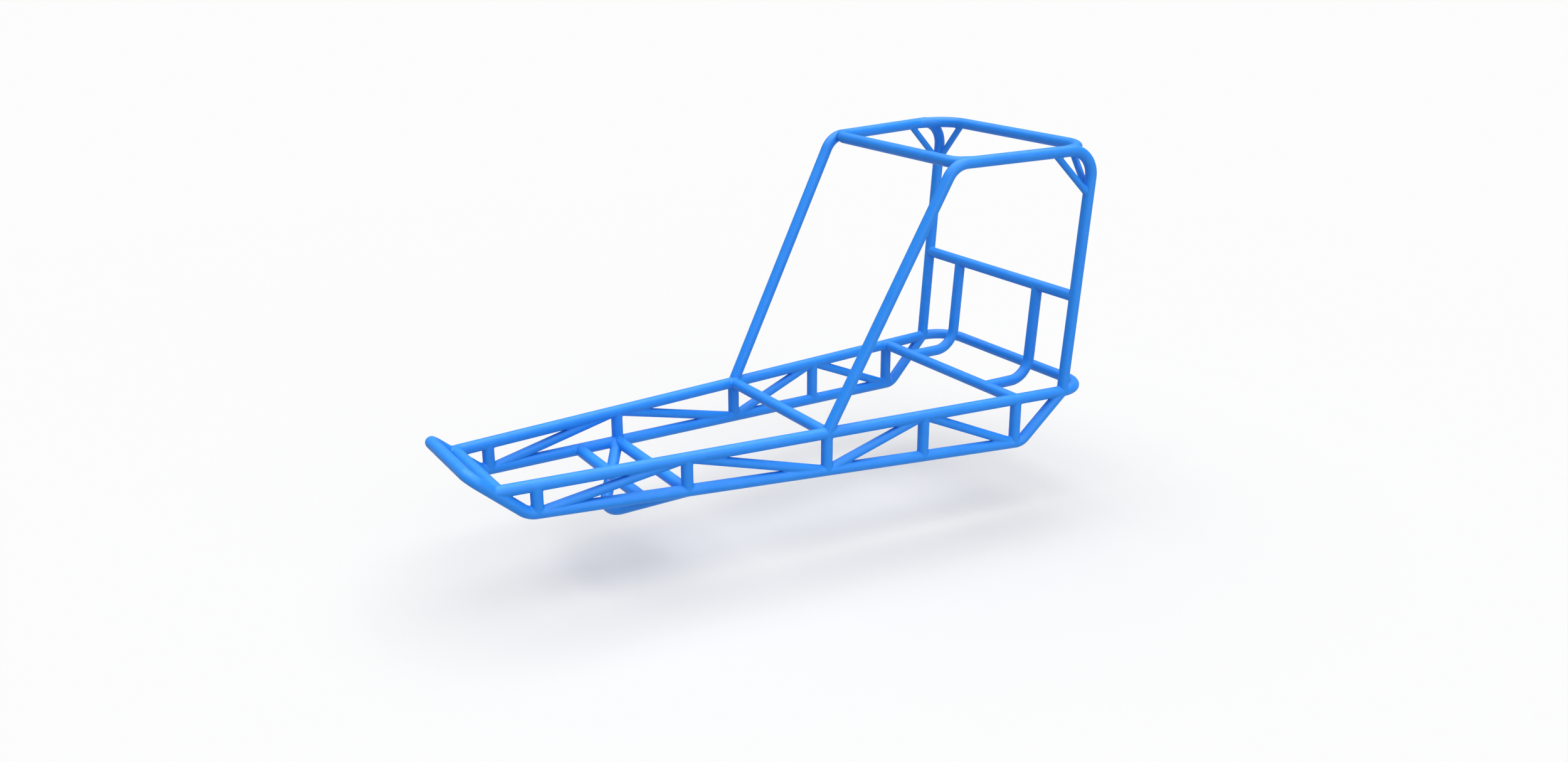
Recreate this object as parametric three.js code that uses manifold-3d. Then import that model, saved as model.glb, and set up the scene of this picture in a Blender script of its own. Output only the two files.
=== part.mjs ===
// Kart chassis: a welded tube frame with a ladder-like side truss, a roll cage over the seat and a
// hoop under the front crossbars. Every tube is a separate hollow piece, coped to fit the tubes it
// is welded to.
//
// Millimetres, +X to the nose, +Y to the driver's left, +Z up. The dimensions below are laid out from
// a datum where the upper rails' centrelines cross the middle truss station. The finished frame is
// then moved so that its origin is under its centre, at its lowest point.

import * as THREE from 'three';
import { mergeVertices } from 'three/addons/utils/BufferGeometryUtils.js';
import Module from 'manifold-3d';

const wasm = await Module();
wasm.setup();

// ---- Tube stock -------------------------------------------------------------------------------

const MAIN_OD = 31.75; // rails, hoops, uprights and crossbars
const BRACE_OD = 25.4; // truss diagonals
const GUSSET_OD = 19.05; // small braces in the cage's rear corners
const WALL = 2;
const WELD_GAP = 0.3; // root gap left between a coped end and the tube it meets
const MAIN_SIDES = 16; // flats round a tube; two of them face straight up and down on a level tube
const BRACE_SIDES = 12;
const BEND_STEP = Math.PI / 9; // longest turn between two sections of a bend
const MERGE_TOLERANCE = 1e-4;

// ---- Side trusses -----------------------------------------------------------------------------

const HALF_WIDTH = 248; // at the datum station, centreline
const TAPER = 0.106; // loss of half width per unit of length towards the nose
const LOWER_DROP = 106; // lower rail under the upper rail at the datum station
const LOWER_RAKE = 0.043; // rise of the lower rail per unit of length towards the nose
const STATIONS = [790, 400, 0, -300, -606]; // uprights, nose to tail
const UPPER_FRONT = 893; // upper rail's front end, on the kick-up's centreline
const FRONT_BAR = 881; // crossbar just behind the upper rails' front ends
const UPPER_REAR = -862; // rear crossbar of the upper loop
const UPPER_CORNER_RADIUS = 88;
const REAR_BEND = -629; // lower rail starts to rise here
const CAGE_FOOT = -766; // rear kick-up and B-pillar meet the upper rail here
const REAR_BEND_RADIUS = 45;

// ---- Front bow --------------------------------------------------------------------------------

const BOW_SPLICE = 765; // butt joint between the bow and the lower rails
const BOW_BEND = 812; // the bow starts to rise here
const BOW_SLOPE = 0.87;
const BOW_TIP = 949; // bow's cross part, centreline
const BOW_BEND_RADIUS = 58;
const BOW_CORNER_RADIUS = 34;

// ---- Roll cage --------------------------------------------------------------------------------

const A_PILLAR_FOOT = 0;
const ROOF_FRONT = [-367.5, 688.5]; // x and z where the A-pillar and roof centrelines meet
const ROOF_REAR = [-819, 699]; // x and z where the roof and B-pillar centrelines meet
const ROOF_FRONT_RADIUS = 68;
const ROOF_REAR_RADIUS = 73;
const FRONT_ROOF_BAR = -382;
const FRONT_ROOF_BAR_RADIUS = 56; // both roof bars' ends curve round to run into the roof sides
const REAR_ROOF_BAR = -821;
const REAR_ROOF_BAR_RADIUS = 100;
const SECTIONS_IN_HOOP = 2; // sections at each end of a roof bar that would lie inside the hoop
const GUSSET_FOOT = 570; // height where the braces meet the B-pillar
const GUSSET_ROOF = -684; // where the fore brace meets the roof side
const GUSSET_BAR = 235; // and the cross brace meets the rear bar, out from the middle

// ---- Seat back, crossbars and under hoop ------------------------------------------------------

const SEAT_BAR_HEIGHT = 280.5;
const SEAT_TUBE_SPACING = 353; // between the two seat tubes
const SEAT_TUBE_RADIUS = 67;
const LOWER_BARS = [400, 523.5];
const UNDER_HOOP_TOP = 401;
const UNDER_HOOP_TIP = [545, -196]; // x and z of the point where the hoop's legs would meet
const UNDER_HOOP_RADIUS = 70;

const BLUE = 0x2d82f0;
const ROUGHNESS = 0.34;
const METALNESS = 0.05;

// ---- Where the centrelines run ----------------------------------------------------------------

const LEFT = 1;
const RIGHT = -1;
const SIDE_NAMES = [['left', LEFT], ['right', RIGHT]];

// A point in one of the two side planes.
function onSide(side, x, z) {
  return new THREE.Vector3(x, side * (HALF_WIDTH - TAPER * x), z);
}

function lowerHeight(x) {
  return LOWER_RAKE * x - LOWER_DROP;
}

function roofHeight(x) {
  const [frontX, frontZ] = ROOF_FRONT;
  const [rearX, rearZ] = ROOF_REAR;
  return frontZ + ((x - frontX) * (rearZ - frontZ)) / (rearX - frontX);
}

// The B-pillar leans back as it rises.
function pillarX(z) {
  return CAGE_FOOT + ((ROOF_REAR[0] - CAGE_FOOT) * z) / ROOF_REAR[1];
}

// ---- Tubes ------------------------------------------------------------------------------------

// A centreline of straight lengths joined by arcs, with a section at each end of every straight
// length and at even steps round every arc.
class Centreline extends THREE.Curve {
  // 'trim' sections are left off each end.
  constructor(corners, radii, trim) {
    super();
    this.points = [];
    this.tangents = [];
    const last = corners.length - 1;
    const heading = (i) => corners[i + 1].clone().sub(corners[i]).normalize();
    this.addSection(corners[0], heading(0));
    for (let i = 1; i < last; i += 1) {
      this.addBend(corners[i], heading(i - 1), heading(i), radii[i - 1]);
    }
    this.addSection(corners[last], heading(last - 1));
    this.points = this.points.slice(trim, this.points.length - trim);
    this.tangents = this.tangents.slice(trim, this.tangents.length - trim);
  }

  addSection(point, tangent) {
    this.points.push(point.clone());
    this.tangents.push(tangent.clone());
  }

  addBend(corner, from, to, radius) {
    const turn = from.angleTo(to);
    const axis = from.clone().cross(to).normalize();
    const start = corner.clone().addScaledVector(from, -radius * Math.tan(turn / 2));
    const inward = axis.clone().cross(from);
    const centre = start.clone().addScaledVector(inward, radius);
    const steps = 2 * Math.ceil(turn / BEND_STEP / 2); // even, so that one section is in the middle
    for (let i = 0; i <= steps; i += 1) {
      const angle = (turn * i) / steps;
      const spoke = inward.clone().multiplyScalar(-radius).applyAxisAngle(axis, angle);
      this.addSection(centre.clone().add(spoke), from.clone().applyAxisAngle(axis, angle));
    }
  }

  get steps() {
    return this.points.length - 1;
  }

  getPointAt(u) {
    return this.points[Math.round(u * this.steps)].clone();
  }

  getTangentAt(u) {
    return this.tangents[Math.round(u * this.steps)].clone();
  }
}

// A regular polygon with the given distance across its flats.
function ring(acrossFlats, sides) {
  const radius = acrossFlats / 2 / Math.cos(Math.PI / sides);
  return Array.from({ length: sides }, (_, i) => {
    const angle = ((i + 0.5) * 2 * Math.PI) / sides;
    return new THREE.Vector2(radius * Math.cos(angle), radius * Math.sin(angle));
  });
}

function sweep(centreline, outerDiameter, boreDiameter) {
  const sides = outerDiameter < MAIN_OD ? BRACE_SIDES : MAIN_SIDES;
  const section = new THREE.Shape(ring(outerDiameter, sides));
  if (boreDiameter > 0) section.holes.push(new THREE.Path(ring(boreDiameter, sides)));
  return new THREE.ExtrudeGeometry(section, {
    steps: centreline.steps,
    extrudePath: centreline,
    bevelEnabled: false,
  });
}

// ---- Coping -----------------------------------------------------------------------------------

function toSolid(geometry) {
  geometry.deleteAttribute('normal');
  geometry.deleteAttribute('uv');
  const merged = mergeVertices(geometry, MERGE_TOLERANCE);
  return new wasm.Manifold(new wasm.Mesh({
    numProp: 3,
    vertProperties: new Float32Array(merged.attributes.position.array),
    triVerts: new Uint32Array(merged.index.array),
  }));
}

function toGeometry(solid) {
  const { vertProperties, triVerts } = solid.getMesh();
  const geometry = new THREE.BufferGeometry();
  geometry.setAttribute('position', new THREE.BufferAttribute(vertProperties, 3));
  geometry.setIndex(new THREE.BufferAttribute(triVerts, 1));
  const faceted = geometry.toNonIndexed();
  faceted.computeVertexNormals();
  return faceted;
}

function largestPiece(solid) {
  return solid.decompose().reduce((a, b) => (b.volume() > a.volume() ? b : a));
}

const chassis = new THREE.Group();
const fitted = []; // outer shapes of the tubes already in place, each with its weld gap

// Adds a tube along the corners. Its ends are cut to fit every tube that is already in place.
function addTube(name, diameter, corners, radii = [], trim = 0) {
  const centreline = new Centreline(corners, radii, trim);
  let solid = toSolid(sweep(centreline, diameter, diameter - 2 * WALL));
  for (const neighbour of fitted) {
    solid = largestPiece(solid.subtract(neighbour));
  }
  const paint = new THREE.MeshStandardMaterial({ color: BLUE, roughness: ROUGHNESS, metalness: METALNESS });
  const mesh = new THREE.Mesh(toGeometry(solid), paint);
  mesh.name = name;
  chassis.add(mesh);
  fitted.push(toSolid(sweep(centreline, diameter + 2 * WELD_GAP, 0)));
}

// A straight tube from side plane to side plane.
function addCrossbar(name, x, z) {
  addTube(name, MAIN_OD, [onSide(RIGHT, x, z), onSide(LEFT, x, z)]);
}

// ---- Main tubes -------------------------------------------------------------------------------

function addFrontBow() {
  const rise = BOW_SLOPE * (BOW_TIP - BOW_BEND);
  const leg = (side) => [
    onSide(side, BOW_SPLICE + WELD_GAP, lowerHeight(BOW_SPLICE)),
    onSide(side, BOW_BEND, lowerHeight(BOW_BEND)),
    onSide(side, BOW_TIP, lowerHeight(BOW_BEND) + rise),
  ];
  const corners = [...leg(LEFT), ...leg(RIGHT).reverse()];
  const radii = [BOW_BEND_RADIUS, BOW_CORNER_RADIUS, BOW_CORNER_RADIUS, BOW_BEND_RADIUS];
  addTube('front_bow', MAIN_OD, corners, radii);
}

function addUpperLoop() {
  const corners = [
    onSide(LEFT, UPPER_FRONT, 0),
    onSide(LEFT, UPPER_REAR, 0),
    onSide(RIGHT, UPPER_REAR, 0),
    onSide(RIGHT, UPPER_FRONT, 0),
  ];
  addTube('upper_loop', MAIN_OD, corners, [UPPER_CORNER_RADIUS, UPPER_CORNER_RADIUS]);
}

function addLowerRails() {
  for (const [name, side] of SIDE_NAMES) {
    const corners = [
      onSide(side, BOW_SPLICE, lowerHeight(BOW_SPLICE)),
      onSide(side, REAR_BEND, lowerHeight(REAR_BEND)),
      onSide(side, CAGE_FOOT, 0),
    ];
    addTube(`lower_rail_${name}`, MAIN_OD, corners, [REAR_BEND_RADIUS]);
  }
}

// ---- Side truss members -----------------------------------------------------------------------

function addUprights() {
  STATIONS.forEach((x, i) => {
    for (const [name, side] of SIDE_NAMES) {
      const corners = [onSide(side, x, lowerHeight(x)), onSide(side, x, 0)];
      addTube(`upright_${i + 1}_${name}`, MAIN_OD, corners);
    }
  });
}

// Each diagonal runs from the top of one upright to the foot of the next one.
function addDiagonals() {
  const bays = [[1, 0], [1, 2], [3, 2], [3, 4]]; // stations of each diagonal's top and foot
  for (const [top, foot] of bays) {
    for (const [name, side] of SIDE_NAMES) {
      const head = onSide(side, STATIONS[top], 0);
      const toe = onSide(side, STATIONS[foot], lowerHeight(STATIONS[foot]));
      addTube(`diagonal_${top + 1}_${foot + 1}_${name}`, BRACE_OD, [head, toe]);
    }
  }
}

// ---- Roll cage --------------------------------------------------------------------------------

function addCageHoops() {
  for (const [name, side] of SIDE_NAMES) {
    const corners = [
      onSide(side, A_PILLAR_FOOT, 0),
      onSide(side, ...ROOF_FRONT),
      onSide(side, ...ROOF_REAR),
      onSide(side, CAGE_FOOT, 0),
    ];
    addTube(`cage_hoop_${name}`, MAIN_OD, corners, [ROOF_FRONT_RADIUS, ROOF_REAR_RADIUS]);
  }
}

// A crossbar between the roof sides. Its rounded ends turn towards x = 'along', and start part-way
// round their bends, where they come out of the hoops.
function addRoofCrossbar(name, x, along, radius) {
  const height = roofHeight(x);
  const corners = [
    onSide(LEFT, along, height),
    onSide(LEFT, x, height),
    onSide(RIGHT, x, height),
    onSide(RIGHT, along, height),
  ];
  addTube(name, MAIN_OD, corners, [radius, radius], SECTIONS_IN_HOOP);
}

function addGussets() {
  const barHeight = roofHeight(REAR_ROOF_BAR);
  for (const [name, side] of SIDE_NAMES) {
    const foot = onSide(side, pillarX(GUSSET_FOOT), GUSSET_FOOT);
    const roofNode = onSide(side, GUSSET_ROOF, roofHeight(GUSSET_ROOF));
    const barNode = new THREE.Vector3(REAR_ROOF_BAR, side * GUSSET_BAR, barHeight);
    addTube(`roof_gusset_fore_${name}`, GUSSET_OD, [foot, roofNode]);
    addTube(`roof_gusset_cross_${name}`, GUSSET_OD, [foot, barNode]);
  }
}

// ---- Seat back and under hoop -----------------------------------------------------------------

// Each seat tube drops from the seat-back crossbar and bends forward to the seat crossbar.
function addSeatTubes() {
  for (const [name, side] of SIDE_NAMES) {
    const y = (side * SEAT_TUBE_SPACING) / 2;
    const corners = [
      new THREE.Vector3(pillarX(SEAT_BAR_HEIGHT), y, SEAT_BAR_HEIGHT),
      new THREE.Vector3(CAGE_FOOT, y, 0),
      new THREE.Vector3(STATIONS[4], y, 0),
    ];
    addTube(`seat_tube_${name}`, MAIN_OD, corners, [SEAT_TUBE_RADIUS]);
  }
}

// A rounded V that hangs from the feet of the second uprights and leans forward.
function addUnderHoop() {
  const [tipX, tipZ] = UNDER_HOOP_TIP;
  const corners = [
    onSide(LEFT, UNDER_HOOP_TOP, lowerHeight(UNDER_HOOP_TOP)),
    new THREE.Vector3(tipX, 0, tipZ),
    onSide(RIGHT, UNDER_HOOP_TOP, lowerHeight(UNDER_HOOP_TOP)),
  ];
  addTube('under_hoop', MAIN_OD, corners, [UNDER_HOOP_RADIUS]);
}

// ---- The frame --------------------------------------------------------------------------------

addFrontBow();
addUpperLoop();
addLowerRails();
addCageHoops();
addCrossbar('front_crossbar', FRONT_BAR, 0);
addRoofCrossbar('roof_front_crossbar', FRONT_ROOF_BAR, REAR_ROOF_BAR, FRONT_ROOF_BAR_RADIUS);
addRoofCrossbar('roof_rear_crossbar', REAR_ROOF_BAR, FRONT_ROOF_BAR, REAR_ROOF_BAR_RADIUS);
addCrossbar('cockpit_crossbar', STATIONS[2], 0);
addCrossbar('seat_crossbar', STATIONS[4], 0);
addCrossbar('seat_back_crossbar', pillarX(SEAT_BAR_HEIGHT), SEAT_BAR_HEIGHT);
addCrossbar('lower_crossbar_rear', LOWER_BARS[0], lowerHeight(LOWER_BARS[0]));
addCrossbar('lower_crossbar_front', LOWER_BARS[1], lowerHeight(LOWER_BARS[1]));
addUprights();
addUnderHoop();
addDiagonals();
addSeatTubes();
addGussets();

const box = new THREE.Box3().setFromObject(chassis);
const middle = box.getCenter(new THREE.Vector3());
chassis.position.set(-middle.x, -middle.y, -box.min.z);

export default chassis;
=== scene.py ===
"""Looks for a welded kart chassis: smooth bent tubes, the welds that join them and a satin blue paint.

Metres, +X to the nose, +Y to the driver's left, +Z up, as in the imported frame. Each tube is laid out
again along its centreline, measured from a datum where the upper rails cross the cockpit crossbar.
Its ends are coped to fit the tubes laid out before it, and a fillet weld runs round each coped end.
"""

import math
from functools import cached_property
from typing import NamedTuple

import bmesh
import bpy
import numpy as np
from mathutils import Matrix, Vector


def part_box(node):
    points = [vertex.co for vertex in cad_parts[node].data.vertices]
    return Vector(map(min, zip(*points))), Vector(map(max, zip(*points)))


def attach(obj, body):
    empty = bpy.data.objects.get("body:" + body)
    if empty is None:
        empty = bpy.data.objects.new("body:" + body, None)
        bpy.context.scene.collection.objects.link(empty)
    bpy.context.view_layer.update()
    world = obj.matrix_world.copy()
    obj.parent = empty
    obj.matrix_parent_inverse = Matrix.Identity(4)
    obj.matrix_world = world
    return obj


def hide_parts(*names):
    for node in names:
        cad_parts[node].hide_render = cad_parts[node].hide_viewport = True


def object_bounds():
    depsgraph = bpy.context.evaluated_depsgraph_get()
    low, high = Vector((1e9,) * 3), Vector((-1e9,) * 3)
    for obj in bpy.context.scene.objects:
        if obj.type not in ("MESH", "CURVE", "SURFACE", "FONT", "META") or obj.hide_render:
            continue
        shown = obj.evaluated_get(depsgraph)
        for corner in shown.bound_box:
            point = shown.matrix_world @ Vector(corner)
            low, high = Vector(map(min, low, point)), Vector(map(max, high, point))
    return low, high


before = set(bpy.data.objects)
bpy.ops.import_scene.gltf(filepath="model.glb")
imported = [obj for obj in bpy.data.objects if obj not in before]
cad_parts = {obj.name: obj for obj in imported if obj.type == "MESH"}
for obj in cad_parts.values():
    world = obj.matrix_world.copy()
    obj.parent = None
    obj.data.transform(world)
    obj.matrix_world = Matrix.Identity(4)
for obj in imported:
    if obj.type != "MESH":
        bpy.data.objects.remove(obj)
cad_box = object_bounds()

# ---- Tube stock ---------------------------------------------------------------------------------

MAIN_RADIUS = 0.015875
BRACE_RADIUS = 0.0127
GUSSET_RADIUS = 0.009525
WALL = 0.002
LINES_ROUND_TUBE = 48
BEND_STEP = math.radians(4)  # between two sections of a bend
TUBE_SHARP = math.radians(35)  # the rim of a tube's end is an edge, and its bends are smooth
TINY = 1e-12  # keeps a division from failing
SECTION_DIGITS = 7  # sections that agree to this many digits are one section
SECTION_GAP = 1e-6  # and one this close to an end is the end
STEEP = 0.9  # a heading that rises this much per unit of length counts as steep

# ---- Layout, from the datum -----------------------------------------------------------------------

HALF_WIDTH = 0.248  # at the datum, to a rail's centreline
TAPER = 0.106  # loss of half width per metre towards the nose
LOWER_DROP = 0.106  # lower rail under the upper rail at the datum
LOWER_RAKE = 0.043  # rise of the lower rail per metre towards the nose
STATIONS = [0.790, 0.400, 0.0, -0.300, -0.606]  # uprights, nose to tail
DIAGONALS = [(1, 0), (1, 2), (3, 2), (3, 4)]  # stations of each diagonal's top and foot
UPPER_FRONT = 0.893
FRONT_BAR = 0.881
UPPER_REAR = -0.862
UPPER_CORNER_RADIUS = 0.088
REAR_BEND = -0.629  # the lower rail starts to rise here
CAGE_FOOT = -0.766  # the rear kick-up and the B-pillar meet the upper rail here
REAR_BEND_RADIUS = 0.045
BOW_SPLICE = 0.765  # butt joint between the bow and the lower rails
BOW_BEND = 0.812  # the bow starts to rise here
BOW_SLOPE = 0.87
BOW_TIP = 0.949
BOW_BEND_RADIUS = 0.058
BOW_CORNER_RADIUS = 0.034
ROOF_FRONT = (-0.3675, 0.6885)  # x and z where the A-pillar and roof centrelines meet
ROOF_REAR = (-0.819, 0.699)  # x and z where the roof and B-pillar centrelines meet
ROOF_FRONT_RADIUS = 0.068
ROOF_REAR_RADIUS = 0.073
FRONT_ROOF_BAR = -0.382
FRONT_ROOF_BAR_RADIUS = 0.056
REAR_ROOF_BAR = -0.821
REAR_ROOF_BAR_RADIUS = 0.100
GUSSET_FOOT = 0.570  # height on the B-pillar
GUSSET_ROOF = -0.684  # x on the roof side
GUSSET_BAR = 0.235  # y on the rear roof bar
SEAT_BAR_HEIGHT = 0.2805
SEAT_TUBE_SPACING = 0.353
SEAT_TUBE_RADIUS = 0.067
LOWER_BARS = {"rear": 0.400, "front": 0.5235}
UNDER_HOOP_TOP = 0.401
UNDER_HOOP_TIP = (0.545, -0.196)  # x and z of the point where the hoop's legs would meet
UNDER_HOOP_RADIUS = 0.070

# ---- Welds ----------------------------------------------------------------------------------------

WELD_LEG = 0.0032  # from the root of a fillet to its toe on either tube
SMALL_WELD_LEG = 0.0024  # on the roof gussets
DRESSED_WELD_LEG = 0.0022  # where a roof bar runs into the roof side, ground smooth
LONGEST_LEG = 1.6  # times the leg, in the narrow corner of a shallow joint
WELD_FILL = 0.45  # from 0, a hollow face that runs on from both tubes, to 1, a flat face
WELD_SINK = 0.00008  # toes lie this far under the tubes' surfaces
WELD_STEP = 0.0007  # along the seam
WELD_ACROSS = 6  # divisions across a weld's face
WELD_SHARP = math.radians(50)  # between a weld's face and its hidden root
ROOT_DEPTH = 0.4  # of the leg, from the seam to the weld's hidden root
FEWEST_STEPS = 24  # round a seam
RIPPLE_PITCH = 0.0029
RIPPLE_HEIGHT = 0.00008
RIPPLE_LAG = 1.3  # how far the ripples bow back at the toes, in radians
RIPPLE_DRIFT = 0.12  # unevenness of the ripples' spacing, in radians
NORMAL_REACH = 3  # steps to either side that a seam's normals, directions and legs are averaged over
ALONG_REACH = 2
LEG_REACH = 4
DRESSED_STEP = 0.00012  # a roof bar's lines stop this far outside the roof side that they run along
SPLICE_WELD = 0.0030  # half width of the low weld between bow and lower rail
SPLICE_HEIGHT = 0.000192
SPLICE_UNEVENNESS = 0.05  # of the half width, along its edges

JOINT_REACH = 0.045  # a tube that passes this close to an end may be one that it is coped to
COPE_ZONE = 0.24  # how far from its end a tube can meet its neighbours
COPE_STEP = 0.001

LEFT = 1
RIGHT = -1
SIDES = {"left": LEFT, "right": RIGHT}


def find_datum():
    """The middle of the cockpit crossbar, which lies level with the upper rails."""
    low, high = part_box("cockpit_crossbar")
    return np.array((low + high) / 2)


DATUM = find_datum()


def at(x, y, z):
    return DATUM + np.array([x, y, z])


def on_side(side, x, z):
    """A point in one of the two side planes."""
    return at(x, side * (HALF_WIDTH - TAPER * x), z)


def lower_height(x):
    """Height of the lower rails' centrelines over the datum."""
    return LOWER_RAKE * x - LOWER_DROP


def roof_height(x):
    """Height of the roof sides' centrelines over the datum."""
    (front_x, front_z), (rear_x, rear_z) = ROOF_FRONT, ROOF_REAR
    return front_z + (x - front_x) * (rear_z - front_z) / (rear_x - front_x)


def pillar_x(z):
    """The B-pillar leans back as it rises."""
    return CAGE_FOOT + (ROOF_REAR[0] - CAGE_FOOT) * z / ROOF_REAR[1]


# ---- Centrelines ----------------------------------------------------------------------------------


def unit(v):
    return v / np.maximum(np.linalg.norm(v, axis=-1, keepdims=True), TINY)


def turned(v, axis, angle):
    """v turned round a unit axis by each of the angles."""
    angle = np.asarray(angle)[..., None]
    along = axis * np.dot(axis, v)
    return v * np.cos(angle) + np.cross(axis, v) * np.sin(angle) + along * (1 - np.cos(angle))


class Straight:
    """A straight length of centreline. 'across' is square to it, where the first line round a tube is."""

    def __init__(self, begin, end, across):
        self.begin = begin
        self.length = np.linalg.norm(end - begin)
        self.along = (end - begin) / self.length
        self.across = across
        self.sections = [0.0, self.length]

    def at(self, s):
        """Points of the line, and the directions along and across it, at arc lengths s."""
        ones = np.ones(s.shape + (1,))
        return self.begin + s[..., None] * self.along, self.along * ones, self.across * ones

    def nearest(self, points):
        """The nearest points of the line, and how far off they are: infinitely far past its ends."""
        t = (points - self.begin) @ self.along
        foot = self.begin + t[:, None] * self.along
        away = np.linalg.norm(points - foot, axis=1)
        away[(t < 0) | (t > self.length)] = np.inf
        return foot, away


class Bend:
    """An arc of centreline that starts along 'heading' and turns round 'axis'."""

    def __init__(self, begin, heading, axis, radius, turn, across):
        self.heading = heading
        self.axis = axis
        self.radius = radius
        self.turn = turn
        self.across = across
        self.length = radius * turn
        self.outward = -np.cross(axis, heading)
        self.centre = begin - self.outward * radius
        steps = max(2, math.ceil(turn / BEND_STEP))
        self.sections = [self.length * i / steps for i in range(steps + 1)]

    def at(self, s):
        """Points of the arc, and the directions along and across it, at arc lengths s."""
        angle = s / self.radius
        point = self.centre + self.radius * turned(self.outward, self.axis, angle)
        return point, turned(self.heading, self.axis, angle), turned(self.across, self.axis, angle)

    def nearest(self, points):
        """The nearest points of the arc, and how far off they are: infinitely far past its ends."""
        v = points - self.centre
        flat = v - (v @ self.axis)[:, None] * self.axis
        foot = self.centre + self.radius * unit(flat)
        angle = np.arctan2(flat @ self.heading, flat @ self.outward)
        away = np.linalg.norm(points - foot, axis=1)
        away[(angle < 0) | (angle > self.turn)] = np.inf
        return foot, away


def square_to(heading):
    """A direction square to the heading: level, unless the heading is steep."""
    steep = abs(heading[2]) >= STEEP
    return unit(np.cross(heading, [1.0, 0.0, 0.0] if steep else [0.0, 0.0, 1.0]))


class Tube:
    """A tube along straight lengths and bends, with the arc length of each end of each of its lines.

    A dressed tube's ends run into the tubes that it meets, and its welds are ground smooth.
    """

    def __init__(self, name, radius, corners, radii=(), dressed=False):
        self.name = name
        self.radius = radius
        self.dressed = dressed
        self.parts = []
        headings = [unit(b - a) for a, b in zip(corners, corners[1:])]
        across = square_to(headings[0])
        begin = corners[0]
        for corner, into, out, bend_radius in zip(corners[1:], headings, headings[1:], radii):
            turn = math.acos(np.clip(into @ out, -1, 1))
            start = corner - into * bend_radius * math.tan(turn / 2)
            axis = unit(np.cross(into, out))
            bend = Bend(start, into, axis, bend_radius, turn, across)
            self.parts += [Straight(begin, start, across), bend]
            points, _, acrosses = bend.at(np.array([bend.length]))
            begin, across = points[0], acrosses[0]
        self.parts.append(Straight(begin, corners[-1], across))
        self.starts = np.cumsum([0.0] + [p.length for p in self.parts])
        self.length = self.starts[-1]
        self.ends = {}

    def at(self, s):
        """Points of the centreline, and its directions along and across, at arc lengths s."""
        out = [np.zeros(s.shape + (3,)) for _ in range(3)]
        index = np.clip(np.searchsorted(self.starts, s, side="right") - 1, 0, len(self.parts) - 1)
        for i, part in enumerate(self.parts):
            here = index == i
            if here.any():
                for target, value in zip(out, part.at(s[here] - self.starts[i])):
                    target[here] = value
        return out

    def surface(self, s, angle, radius):
        """Points on the tube of that radius, one for each arc length and angle round the tube."""
        point, along, across = self.at(s)
        other = np.cross(along, across)
        spoke = across * np.cos(angle)[..., None] + other * np.sin(angle)[..., None]
        return point + radius * spoke

    def nearest(self, points):
        """The nearest points of the centreline, and how far off they are."""
        foot, away = self.parts[0].nearest(points)
        for part in self.parts[1:]:
            other, other_away = part.nearest(points)
            closer = other_away < away
            foot[closer] = other[closer]
            away[closer] = other_away[closer]
        return foot, away

    def sections(self):
        """Arc lengths of the sections that the bends need, without the tube's ends."""
        found = {start + s for start, part in zip(self.starts, self.parts) for s in part.sections}
        merged = sorted({round(s, SECTION_DIGITS) for s in found})
        return [s for s in merged if SECTION_GAP < s < self.length - SECTION_GAP]


# ---- Coping ---------------------------------------------------------------------------------------

ANGLES = np.arange(LINES_ROUND_TUBE) * 2 * np.pi / LINES_ROUND_TUBE


def depth_in(tubes, points):
    """How far each point is from the nearest of the tubes' surfaces, less than 0 inside, and which one."""
    depths = np.array([t.nearest(points)[1] - t.radius for t in tubes])
    return depths.min(0), depths.argmin(0)


def cope(tube, end, radius, neighbours):
    """The arc length where each of the tube's lines first meets a neighbour, on its way to that end."""
    reach = min(COPE_ZONE, tube.length / 2)
    steps = round(reach / COPE_STEP)
    run = np.linspace(reach, 0, steps + 1)
    s = tube.length - run if end else run
    grid_s, grid_angle = np.meshgrid(s, ANGLES)
    points = tube.surface(grid_s, grid_angle, radius).reshape(-1, 3)
    margin = DRESSED_STEP if tube.dressed else 0.0
    depth = depth_in(neighbours, points)[0].reshape(grid_s.shape) - margin
    depth = np.minimum(depth, JOINT_REACH)
    inside = depth < 0
    first = np.where(inside.any(1), inside.argmax(1), steps)
    before = np.maximum(first - 1, 0)
    line = np.arange(len(ANGLES))
    a, b = depth[line, before], depth[line, first]
    share = np.where(inside.any(1), a / np.maximum(a - b, TINY), 1.0)
    return s[before] + share * (s[first] - s[before])


def lay_out(tubes, tube, open_ends=()):
    """Copes both of the tube's ends to the tubes laid out before it. An open end stays square."""
    for end in (0, 1):
        tip = tube.at(np.array([tube.length * end]))[0]
        near = [t for t in tubes if t.nearest(tip)[1][0] < t.radius + JOINT_REACH]
        square = np.full(len(ANGLES), tube.length * end)
        if end in open_ends or not near:
            tube.ends[end] = (square, square, [])
        else:
            outer = cope(tube, end, tube.radius, near)
            inner = cope(tube, end, tube.radius - WALL, near)
            tube.ends[end] = (outer, inner, near)
    tubes.append(tube)


# ---- Tube and weld meshes -------------------------------------------------------------------------


def add_mesh(name, points, faces, material, sharp_angle):
    mesh = bpy.data.meshes.new(name)
    mesh.from_pydata(points.reshape(-1, 3).tolist(), [], faces)
    mesh.shade_smooth()
    mesh.set_sharp_from_angle(angle=sharp_angle)
    mesh.materials.append(material)
    mesh.update()
    piece = bpy.data.objects.new(name, mesh)
    bpy.context.scene.collection.objects.link(piece)
    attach(piece, "root")
    return piece


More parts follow.
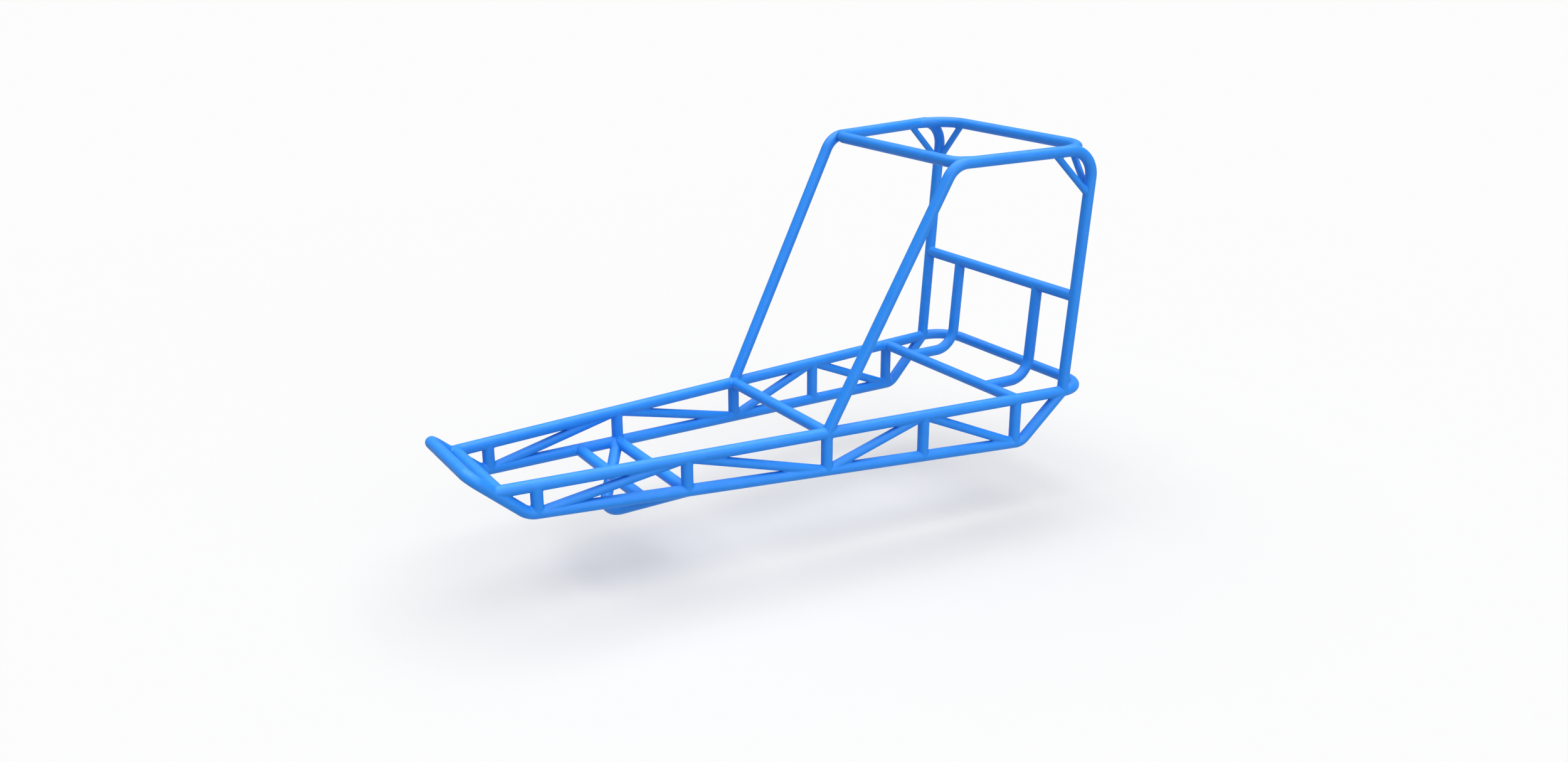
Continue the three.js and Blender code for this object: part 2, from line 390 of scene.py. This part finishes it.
def loop_faces(rings, around, offset=0):
    """Quads between rings that follow each other and close up, each ring of that many points."""
    faces = []
    for i in range(rings):
        for j in range(around):
            here, after = offset + i * around, offset + (i + 1) % rings * around
            k = (j + 1) % around
            faces.append((here + j, here + k, after + k, after + j))
    return faces


def skin(tube, index, radius):
    """The tube's lines at that radius, as one row of points for each section."""
    start, end = tube.ends[0][index], tube.ends[1][index]
    first, last = start.mean(), end.mean()
    zone = min(COPE_ZONE, (last - first) / 2)
    middle = [s for s in tube.sections() if start.max() < s < end.min()]
    rows = []
    for s in [first, *middle, last]:
        row = np.full(len(ANGLES), s)
        if s < first + zone:
            row = start + (s - first) / zone * (first + zone - start)
        elif s > last - zone:
            row = end + (last - s) / zone * (last - zone - end)
        rows.append(row)
    return tube.surface(np.array(rows), np.broadcast_to(ANGLES, (len(rows), len(ANGLES))), radius)


def build_tube(tube, material):
    outside = skin(tube, 0, tube.radius)
    bore = skin(tube, 1, tube.radius - WALL)
    rings = np.concatenate([outside, bore[::-1]])
    faces = loop_faces(len(rings), len(ANGLES))
    piece = add_mesh(f"{tube.name}_tube", rings, faces, material, TUBE_SHARP)
    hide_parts(tube.name)


def resampled(loop, step):
    """The closed loop evenly spaced by about one step, each point's distance round it, and its length."""
    closed = np.vstack([loop, loop[:1]])
    run = np.concatenate([[0.0], np.cumsum(np.linalg.norm(np.diff(closed, axis=0), axis=1))])
    count = max(FEWEST_STEPS, round(run[-1] / step))
    s = np.arange(count) * run[-1] / count
    return np.stack([np.interp(s, run, closed[:, i]) for i in range(3)], axis=1), s, run[-1]


def smoothed(values, reach):
    """A running mean round a closed loop."""
    return sum(np.roll(values, i, axis=0) for i in range(-reach, reach + 1)) / (2 * reach + 1)


def on_surface(points, tubes):
    """The points moved to just under the nearest tube's surface."""
    which = depth_in(tubes, points)[1]
    moved = points.copy()
    for i, tube in enumerate(tubes):
        here = which == i
        if here.any():
            foot, away = tube.nearest(points[here])
            beside = np.isfinite(away)[:, None]
            sunk = foot + unit(points[here] - foot) * (tube.radius - WELD_SINK)
            moved[here] = np.where(beside, sunk, points[here])
    return moved


def normals_at(points, tubes):
    """The nearest tube's normal at each point."""
    which = depth_in(tubes, points)[1]
    normal = np.zeros_like(points)
    for i, tube in enumerate(tubes):
        here = which == i
        if here.any():
            normal[here] = unit(points[here] - tube.nearest(points[here])[0])
    return normal


def wander(phase, waves, slowest, shift, rng):
    """An uneven value round a closed loop: a sum of sine waves of random height."""
    heights = rng.normal(0, 1, waves)
    return sum(h * np.sin((i + slowest) * phase + shift * h) for i, h in enumerate(heights))


def fillet(tube, end, leg, fill, ripple, rng):
    """Rings of points round the seam at one end of a tube: across the weld's face, then its root."""
    outer, _, near = tube.ends[end]
    seam = tube.surface(outer, ANGLES, tube.radius)
    seam, run, perimeter = resampled(seam, WELD_STEP)
    own = normals_at(seam, [tube])
    other = unit(smoothed(normals_at(seam, near), NORMAL_REACH))
    along = unit(smoothed(np.roll(seam, -1, axis=0) - np.roll(seam, 1, axis=0), ALONG_REACH))
    way = 1 if end else -1
    up_tube = unit(way * np.cross(along, own))
    off_tube = unit(-way * np.cross(along, other))
    opening = np.arccos(np.clip((up_tube * off_tube).sum(1), -1, 1))
    narrowness = math.sin(math.pi / 4) / np.maximum(np.sin(opening / 2), TINY)  # 1 in a square corner
    reach = smoothed(leg * np.minimum(LONGEST_LEG, narrowness), LEG_REACH)[:, None]
    toe_a = on_surface(seam + up_tube * reach, [tube])
    toe_b = on_surface(seam + off_tube * reach, near)
    face_out = unit(up_tube + off_tube + own + other)
    middle = seam + fill * ((toe_a + toe_b) / 2 - seam)
    ripples = round(perimeter / RIPPLE_PITCH)
    phase = 2 * np.pi * run / perimeter
    drift = RIPPLE_DRIFT * wander(phase, waves=8, slowest=2, shift=5, rng=rng)
    rows = []
    for j in range(WELD_ACROSS + 1):
        u = j / WELD_ACROSS
        point = (1 - u) ** 2 * toe_a + 2 * u * (1 - u) * middle + u**2 * toe_b
        bow = RIPPLE_LAG * (2 * u - 1) ** 2
        height = ripple * 4 * u * (1 - u) * np.sin(ripples * phase + drift - bow)
        rows.append(point + face_out * height[:, None])
    rows.append(seam - face_out * leg * ROOT_DEPTH)
    return np.stack(rows, axis=1)


def build_weld(name, rings_at_ends, material):
    """One piece from the welds at a tube's ends."""
    points, faces, offset = [], [], 0
    for rings in rings_at_ends:
        count, around = rings.shape[:2]
        faces += loop_faces(count, around, offset)
        points.append(rings.reshape(-1, 3))
        offset += count * around
    add_mesh(name, np.vstack(points), faces, material, WELD_SHARP)


def splice_ring(tube, s, rng):
    """Rings of points across a low weld, dressed almost flush, round a butt joint at arc length s."""
    count = round(2 * math.pi * tube.radius / WELD_STEP)
    angle = np.arange(count) * 2 * np.pi / count
    uneven = SPLICE_WELD * SPLICE_UNEVENNESS * wander(angle, waves=3, slowest=3, shift=4, rng=rng)
    rows = []
    for j in range(WELD_ACROSS + 1):
        u = 2 * j / WELD_ACROSS - 1
        height = SPLICE_HEIGHT * (1 - u * u) - WELD_SINK
        where = s + u * SPLICE_WELD + uneven * abs(u)
        rows.append(tube.surface(where, angle, tube.radius + height))
    rows.append(tube.surface(np.full(count, s), angle, tube.radius - WALL / 2))
    return np.stack(rows, axis=1)


# ---- The tubes ------------------------------------------------------------------------------------


def front_bow():
    """The kick-ups and the raised bow across the nose, from one splice to the other."""
    rise = BOW_SLOPE * (BOW_TIP - BOW_BEND)

    def leg(side):
        return [
            on_side(side, BOW_SPLICE, lower_height(BOW_SPLICE)),
            on_side(side, BOW_BEND, lower_height(BOW_BEND)),
            on_side(side, BOW_TIP, lower_height(BOW_BEND) + rise),
        ]

    radii = [BOW_BEND_RADIUS, BOW_CORNER_RADIUS, BOW_CORNER_RADIUS, BOW_BEND_RADIUS]
    return Tube("front_bow", MAIN_RADIUS, leg(LEFT) + leg(RIGHT)[::-1], radii)


def upper_loop():
    """Both upper rails and the rear crossbar."""
    corners = [
        on_side(LEFT, UPPER_FRONT, 0),
        on_side(LEFT, UPPER_REAR, 0),
        on_side(RIGHT, UPPER_REAR, 0),
        on_side(RIGHT, UPPER_FRONT, 0),
    ]
    return Tube("upper_loop", MAIN_RADIUS, corners, [UPPER_CORNER_RADIUS] * 2)


def lower_rail(word, side):
    """A lower rail with its rear kick-up to the upper rail."""
    corners = [
        on_side(side, BOW_SPLICE, lower_height(BOW_SPLICE)),
        on_side(side, REAR_BEND, lower_height(REAR_BEND)),
        on_side(side, CAGE_FOOT, 0),
    ]
    return Tube(f"lower_rail_{word}", MAIN_RADIUS, corners, [REAR_BEND_RADIUS])


def cage_hoop(word, side):
    """The A-pillar, roof side and B-pillar of one side."""
    corners = [
        on_side(side, 0, 0),
        on_side(side, *ROOF_FRONT),
        on_side(side, *ROOF_REAR),
        on_side(side, CAGE_FOOT, 0),
    ]
    return Tube(f"cage_hoop_{word}", MAIN_RADIUS, corners, [ROOF_FRONT_RADIUS, ROOF_REAR_RADIUS])


def crossbar(name, x, z):
    return Tube(name, MAIN_RADIUS, [on_side(RIGHT, x, z), on_side(LEFT, x, z)])


def roof_crossbar(name, x, along, radius):
    """A crossbar whose rounded ends run into the roof sides, towards x = along."""
    corner = on_side(LEFT, x, roof_height(x))
    side_way = unit(on_side(LEFT, along, roof_height(along)) - corner)
    turn = math.acos(side_way @ np.array([0.0, 1.0, 0.0]))
    tail = corner + side_way * (radius * math.tan(turn / 2) + COPE_STEP)
    mirror = np.array([1.0, -1.0, 1.0])
    corners = [tail, corner, corner * mirror, tail * mirror]
    return Tube(name, MAIN_RADIUS, corners, [radius, radius], dressed=True)


def seat_tube(word, side):
    """Drops from the seat-back crossbar and bends forward to the seat crossbar."""
    y = side * SEAT_TUBE_SPACING / 2
    corners = [
        at(pillar_x(SEAT_BAR_HEIGHT), y, SEAT_BAR_HEIGHT),
        at(CAGE_FOOT, y, 0),
        at(STATIONS[4], y, 0),
    ]
    return Tube(f"seat_tube_{word}", MAIN_RADIUS, corners, [SEAT_TUBE_RADIUS])


def under_hoop():
    """A rounded V that hangs from the feet of the second uprights and leans forward."""
    corners = [
        on_side(LEFT, UNDER_HOOP_TOP, lower_height(UNDER_HOOP_TOP)),
        at(UNDER_HOOP_TIP[0], 0, UNDER_HOOP_TIP[1]),
        on_side(RIGHT, UNDER_HOOP_TOP, lower_height(UNDER_HOOP_TOP)),
    ]
    return Tube("under_hoop", MAIN_RADIUS, corners, [UNDER_HOOP_RADIUS])


def gussets(word, side):
    """The two small braces in a rear corner of the roof."""
    foot = on_side(side, pillar_x(GUSSET_FOOT), GUSSET_FOOT)
    roof = on_side(side, GUSSET_ROOF, roof_height(GUSSET_ROOF))
    bar = at(REAR_ROOF_BAR, side * GUSSET_BAR, roof_height(REAR_ROOF_BAR))
    return [
        Tube(f"roof_gusset_fore_{word}", GUSSET_RADIUS, [foot, roof]),
        Tube(f"roof_gusset_cross_{word}", GUSSET_RADIUS, [foot, bar]),
    ]


def all_tubes():
    """Every tube, in the order in which they are fitted."""
    tubes = []
    lay_out(tubes, front_bow(), open_ends=(0, 1))
    lay_out(tubes, upper_loop())
    for word, side in SIDES.items():
        lay_out(tubes, lower_rail(word, side), open_ends=(0,))
    for word, side in SIDES.items():
        lay_out(tubes, cage_hoop(word, side))
    lay_out(tubes, crossbar("front_crossbar", FRONT_BAR, 0))
    front, rear = FRONT_ROOF_BAR, REAR_ROOF_BAR
    lay_out(tubes, roof_crossbar("roof_front_crossbar", front, rear, FRONT_ROOF_BAR_RADIUS))
    lay_out(tubes, roof_crossbar("roof_rear_crossbar", rear, front, REAR_ROOF_BAR_RADIUS))
    lay_out(tubes, crossbar("cockpit_crossbar", STATIONS[2], 0))
    lay_out(tubes, crossbar("seat_crossbar", STATIONS[4], 0))
    lay_out(tubes, crossbar("seat_back_crossbar", pillar_x(SEAT_BAR_HEIGHT), SEAT_BAR_HEIGHT))
    for word, x in LOWER_BARS.items():
        lay_out(tubes, crossbar(f"lower_crossbar_{word}", x, lower_height(x)))
    for i, x in enumerate(STATIONS):
        for word, side in SIDES.items():
            ends = [on_side(side, x, lower_height(x)), on_side(side, x, 0)]
            lay_out(tubes, Tube(f"upright_{i + 1}_{word}", MAIN_RADIUS, ends))
    lay_out(tubes, under_hoop())
    for top, foot in DIAGONALS:
        for word, side in SIDES.items():
            head = on_side(side, STATIONS[top], 0)
            toe = on_side(side, STATIONS[foot], lower_height(STATIONS[foot]))
            lay_out(tubes, Tube(f"diagonal_{top + 1}_{foot + 1}_{word}", BRACE_RADIUS, [head, toe]))
    for word, side in SIDES.items():
        lay_out(tubes, seat_tube(word, side))
    for word, side in SIDES.items():
        for tube in gussets(word, side):
            lay_out(tubes, tube)
    return tubes


# ---- Paint ----------------------------------------------------------------------------------------

BLUE_DEEP = (0.008, 0.212, 0.770, 1)
BLUE_MAIN = (0.012, 0.236, 0.820, 1)
BLUE_PALE = (0.021, 0.264, 0.860, 1)
DUST = (0.30, 0.45, 0.80, 1)


class Noise(NamedTuple):
    """A noise through the object. Its patches go from 'least', where it is at 'low', to 'most', at 'high'."""

    scale: float  # features per metre
    detail: float
    roughness: float
    low: float = 0.0
    high: float = 1.0
    least: float = 0.0
    most: float = 1.0


SLOW_SHADE = Noise(scale=5, detail=3, roughness=0.5, low=0.3, high=0.7)
PALE_PATCHES = Noise(scale=38, detail=4, roughness=0.6, low=0.45, high=0.8, most=0.55)
MOTTLE = Noise(scale=170, detail=3, roughness=0.55, low=0.48, high=0.72, most=0.5)
PIGMENT = Noise(scale=1400, detail=1, roughness=0.5, low=0.35, high=0.65, most=0.2)
SETTLED_DUST = Noise(scale=70, detail=5, roughness=0.7, low=0.4, high=0.8, most=0.08)
DUST_SLOPE = (0.35, 1.0)  # upward part of a surface's normal where dust begins, and where it is full
TUBE_GLOSS = Noise(scale=24, detail=4, roughness=0.5, low=0.3, high=0.7, least=0.40, most=0.50)
WELD_GLOSS = TUBE_GLOSS._replace(least=0.44, most=0.54)
PEEL = Noise(scale=520, detail=2, roughness=0.45)
PEEL_HEIGHT = 0.00018
WAVES = Noise(scale=130, detail=1, roughness=0.5)
WAVES_HEIGHT = 0.0005
WAVES_SHARE = 0.6  # of the orange peel's strength
TUBE_PEEL_STRENGTH = 0.3
WELD_PEEL_STRENGTH = 0.4
SPECULAR_LEVEL = 0.40


class Nodes:
    """Adds nodes to a material or a world, and links them."""

    def __init__(self, owner):
        owner.use_nodes = True
        self.tree = owner.node_tree

    @cached_property
    def coordinates(self):
        return self.add("ShaderNodeTexCoord").outputs

    def add(self, kind, **values):
        node = self.tree.nodes.new(kind)
        for key, value in values.items():
            setattr(node, key, value)
        return node

    def link(self, out, into):
        self.tree.links.new(out, into)

    def grain(self, noise):
        node = self.add("ShaderNodeTexNoise")
        self.link(self.coordinates["Object"], node.inputs["Vector"])
        node.inputs["Scale"].default_value = noise.scale
        node.inputs["Detail"].default_value = noise.detail
        node.inputs["Roughness"].default_value = noise.roughness
        return node.outputs["Fac"]

    def patches(self, noise):
        return self.stretch(self.grain(noise), noise.low, noise.high, noise.least, noise.most)

    def stretch(self, value, from_low, from_high, to_low, to_high):
        """The value with 'from_low' to 'from_high' in it drawn out to 'to_low' to 'to_high'."""
        node = self.add("ShaderNodeMapRange")
        self.link(value, node.inputs["Value"])
        node.inputs["From Min"].default_value = from_low
        node.inputs["From Max"].default_value = from_high
        node.inputs["To Min"].default_value = to_low
        node.inputs["To Max"].default_value = to_high
        return node.outputs["Result"]

    def math(self, operation, a, b):
        node = self.add("ShaderNodeMath", operation=operation)
        self.link(a, node.inputs[0])
        self.link(b, node.inputs[1])
        return node.outputs["Value"]

    def mix(self, share, a, b):
        """A mix of two colours, each a fixed colour or another node's output."""
        node = self.add("ShaderNodeMix", data_type="RGBA")
        self.link(share, node.inputs["Factor"])
        for name, value in (("A", a), ("B", b)):
            socket = next(s for s in node.inputs if s.name == name and s.type == "RGBA")
            if isinstance(value, tuple):
                socket.default_value = value
            else:
                self.link(value, socket)
        return next(s for s in node.outputs if s.type == "RGBA")

    def bump(self, height, strength, distance, normal=None):
        node = self.add("ShaderNodeBump")
        self.link(height, node.inputs["Height"])
        node.inputs["Strength"].default_value = strength
        node.inputs["Distance"].default_value = distance
        if normal:
            self.link(normal, node.inputs["Normal"])
        return node.outputs["Normal"]


def make_paint(name, gloss, peel_strength):
    """Satin powder coat: slow changes of shade, fine pigment, orange peel and a trace of settled dust."""
    material = bpy.data.materials.new(name)
    nodes = Nodes(material)
    shader = material.node_tree.nodes["Principled BSDF"]

    colour = nodes.mix(nodes.patches(SLOW_SHADE), BLUE_DEEP, BLUE_MAIN)
    colour = nodes.mix(nodes.patches(PALE_PATCHES), colour, BLUE_PALE)
    colour = nodes.mix(nodes.patches(MOTTLE), colour, BLUE_DEEP)
    colour = nodes.mix(nodes.patches(PIGMENT), colour, BLUE_PALE)

    facing = nodes.add("ShaderNodeSeparateXYZ")
    nodes.link(nodes.add("ShaderNodeNewGeometry").outputs["Normal"], facing.inputs[0])
    upward = nodes.stretch(facing.outputs["Z"], *DUST_SLOPE, 0, 1)
    settled = nodes.math("MULTIPLY", upward, nodes.patches(SETTLED_DUST))
    nodes.link(nodes.mix(settled, colour, DUST), shader.inputs["Base Color"])
    nodes.link(nodes.math("ADD", nodes.patches(gloss), settled), shader.inputs["Roughness"])

    peel = nodes.bump(nodes.grain(PEEL), peel_strength, PEEL_HEIGHT)
    waves = nodes.bump(nodes.grain(WAVES), peel_strength * WAVES_SHARE, WAVES_HEIGHT, peel)
    nodes.link(waves, shader.inputs["Normal"])
    shader.inputs["Specular IOR Level"].default_value = SPECULAR_LEVEL
    return material


# ---- Build the object -----------------------------------------------------------------------------

WELD_SEED = 7


def weld_size(tube):
    """The leg, fill and ripple height of the welds at a tube's ends."""
    if tube.dressed:
        return DRESSED_WELD_LEG, 0.0, 0.0
    leg = SMALL_WELD_LEG if tube.radius == GUSSET_RADIUS else WELD_LEG
    return leg, WELD_FILL, RIPPLE_HEIGHT


def build_frame():
    """Every tube in place of its CAD part, with the welds at its ends, and the bow's two butt joints."""
    tube_paint = make_paint("satin_blue_paint", TUBE_GLOSS, TUBE_PEEL_STRENGTH)
    weld_paint = make_paint("satin_blue_paint_on_welds", WELD_GLOSS, WELD_PEEL_STRENGTH)
    rng = np.random.default_rng(WELD_SEED)
    tubes = all_tubes()
    for tube in tubes:
        build_tube(tube, tube_paint)
        coped = [end for end, (_, _, neighbours) in tube.ends.items() if neighbours]
        seams = [fillet(tube, end, *weld_size(tube), rng) for end in coped]
        if seams:
            build_weld(f"{tube.name}_weld", seams, weld_paint)
    bow = tubes[0]
    for word, s in (("left", 0.0), ("right", bow.length)):
        build_weld(f"bow_splice_{word}_weld", [splice_ring(bow, s, rng)], weld_paint)


build_frame()

# ---- Floor, light and camera ----------------------------------------------------------------------

FLOOR_DROP = 0.145  # the frame hangs this far over the floor, as if still on its wheels
FLOOR_RADIUS = 40.0
BACKDROP_RADIUS = 40.4  # a ball that just holds the floor
FLOOR_SIDES = 96  # divisions round the floor and the backdrop
FLOOR_GREY = (0.603, 0.603, 0.603, 1)
FLOOR_FADE = (2.2, 6.0)  # between these distances the floor turns into the backdrop's white
BACKDROP_WHITE = (0.98, 0.98, 0.98, 1)
SKY_ABOVE = 0.20
SKY_BELOW = 0.62  # stands in for the light that a white floor throws back up
SKY_BLEND = 0.35  # height of the soft edge between the two, as the sine of an angle
KEY_DIRECTION = (0.0, -0.05, 1.0)
KEY_STRENGTH = 4.0
KEY_SPREAD = 85
SIDE_DIRECTION = (0.0, 0.94, 0.34)
SIDE_STRENGTH = 1.3
SIDE_SPREAD = 60
CAMERA_FROM_DATUM = (1.8781, 3.0142, 1.2845)
CAMERA_TURN = 147.787
CAMERA_TILT = 71.194
CAMERA_LENS = 30.871
SENSOR_WIDTH = 36.0


def add_stage(name, mesh, material):
    """A floor or backdrop that the camera sees, but that neither lights the object nor shades it."""
    mesh.materials.append(material)
    piece = bpy.data.objects.new(name, mesh)
    bpy.context.scene.collection.objects.link(piece)
    piece.visible_diffuse = False
    piece.visible_glossy = False
    piece.visible_shadow = False


def add_floor():
    z = cad_box[0].z - FLOOR_DROP
    angles = [2 * math.pi * i / FLOOR_SIDES for i in range(FLOOR_SIDES)]
    rim = [(FLOOR_RADIUS * math.cos(a), FLOOR_RADIUS * math.sin(a), z) for a in angles]
    mesh = bpy.data.meshes.new("floor")
    mesh.from_pydata(rim, [], [list(range(FLOOR_SIDES))])
    material = bpy.data.materials.new("pale_floor")
    nodes = Nodes(material)
    shader = material.node_tree.nodes["Principled BSDF"]
    shader.inputs["Base Color"].default_value = FLOOR_GREY
    shader.inputs["Roughness"].default_value = 1.0
    shader.inputs["Specular IOR Level"].default_value = 0.0
    glow = nodes.add("ShaderNodeEmission")
    glow.inputs["Color"].default_value = BACKDROP_WHITE
    distance = nodes.add("ShaderNodeVectorMath", operation="LENGTH")
    nodes.link(nodes.coordinates["Object"], distance.inputs[0])
    fade = nodes.stretch(distance.outputs["Value"], *FLOOR_FADE, 0, 1)
    blend = nodes.add("ShaderNodeMixShader")
    nodes.link(fade, blend.inputs["Fac"])
    nodes.link(shader.outputs[0], blend.inputs[1])
    nodes.link(glow.outputs[0], blend.inputs[2])
    nodes.link(blend.outputs[0], material.node_tree.nodes["Material Output"].inputs["Surface"])
    add_stage("floor", mesh, material)


def add_backdrop():
    mesh = bpy.data.meshes.new("backdrop")
    ball = bmesh.new()
    bmesh.ops.create_uvsphere(
        ball, u_segments=FLOOR_SIDES, v_segments=FLOOR_SIDES // 2, radius=BACKDROP_RADIUS
    )
    ball.to_mesh(mesh)
    ball.free()
    material = bpy.data.materials.new("white_backdrop")
    nodes = Nodes(material)
    glow = nodes.add("ShaderNodeEmission")
    glow.inputs["Color"].default_value = BACKDROP_WHITE
    nodes.link(glow.outputs[0], material.node_tree.nodes["Material Output"].inputs["Surface"])
    add_stage("backdrop", mesh, material)


def add_sky():
    """White all round, brighter below the horizon than above it."""
    world = bpy.data.worlds.new("studio")
    nodes = Nodes(world)
    background = world.node_tree.nodes["Background"]
    background.inputs["Color"].default_value = (1, 1, 1, 1)
    direction = nodes.add("ShaderNodeSeparateXYZ")
    nodes.link(nodes.coordinates["Generated"], direction.inputs[0])
    height = nodes.stretch(direction.outputs["Z"], -SKY_BLEND, SKY_BLEND, SKY_BELOW, SKY_ABOVE)
    nodes.link(height, background.inputs["Strength"])
    bpy.context.scene.world = world


def add_soft_light(name, direction, strength, spread):
    """A far, wide light that shines from that direction."""
    light = bpy.data.lights.new(name, "SUN")
    light.energy = strength
    light.angle = math.radians(spread)
    lamp = bpy.data.objects.new(name, light)
    lamp.rotation_euler = Vector(direction).to_track_quat("Z", "Y").to_euler()
    bpy.context.scene.collection.objects.link(lamp)


def add_camera():
    data = bpy.data.cameras.new("camera")
    data.sensor_width = SENSOR_WIDTH
    data.lens = CAMERA_LENS
    data.clip_end = 2 * FLOOR_RADIUS
    camera = bpy.data.objects.new("camera", data)
    camera.location = Vector(DATUM) + Vector(CAMERA_FROM_DATUM)
    camera.rotation_euler = (math.radians(CAMERA_TILT), 0, math.radians(CAMERA_TURN))
    bpy.context.scene.collection.objects.link(camera)
    bpy.context.scene.camera = camera


add_floor()
add_backdrop()
add_sky()
add_soft_light("key", KEY_DIRECTION, KEY_STRENGTH, KEY_SPREAD)
add_soft_light("side", SIDE_DIRECTION, SIDE_STRENGTH, SIDE_SPREAD)
add_camera()
bpy.context.scene.view_settings.view_transform = "Standard"
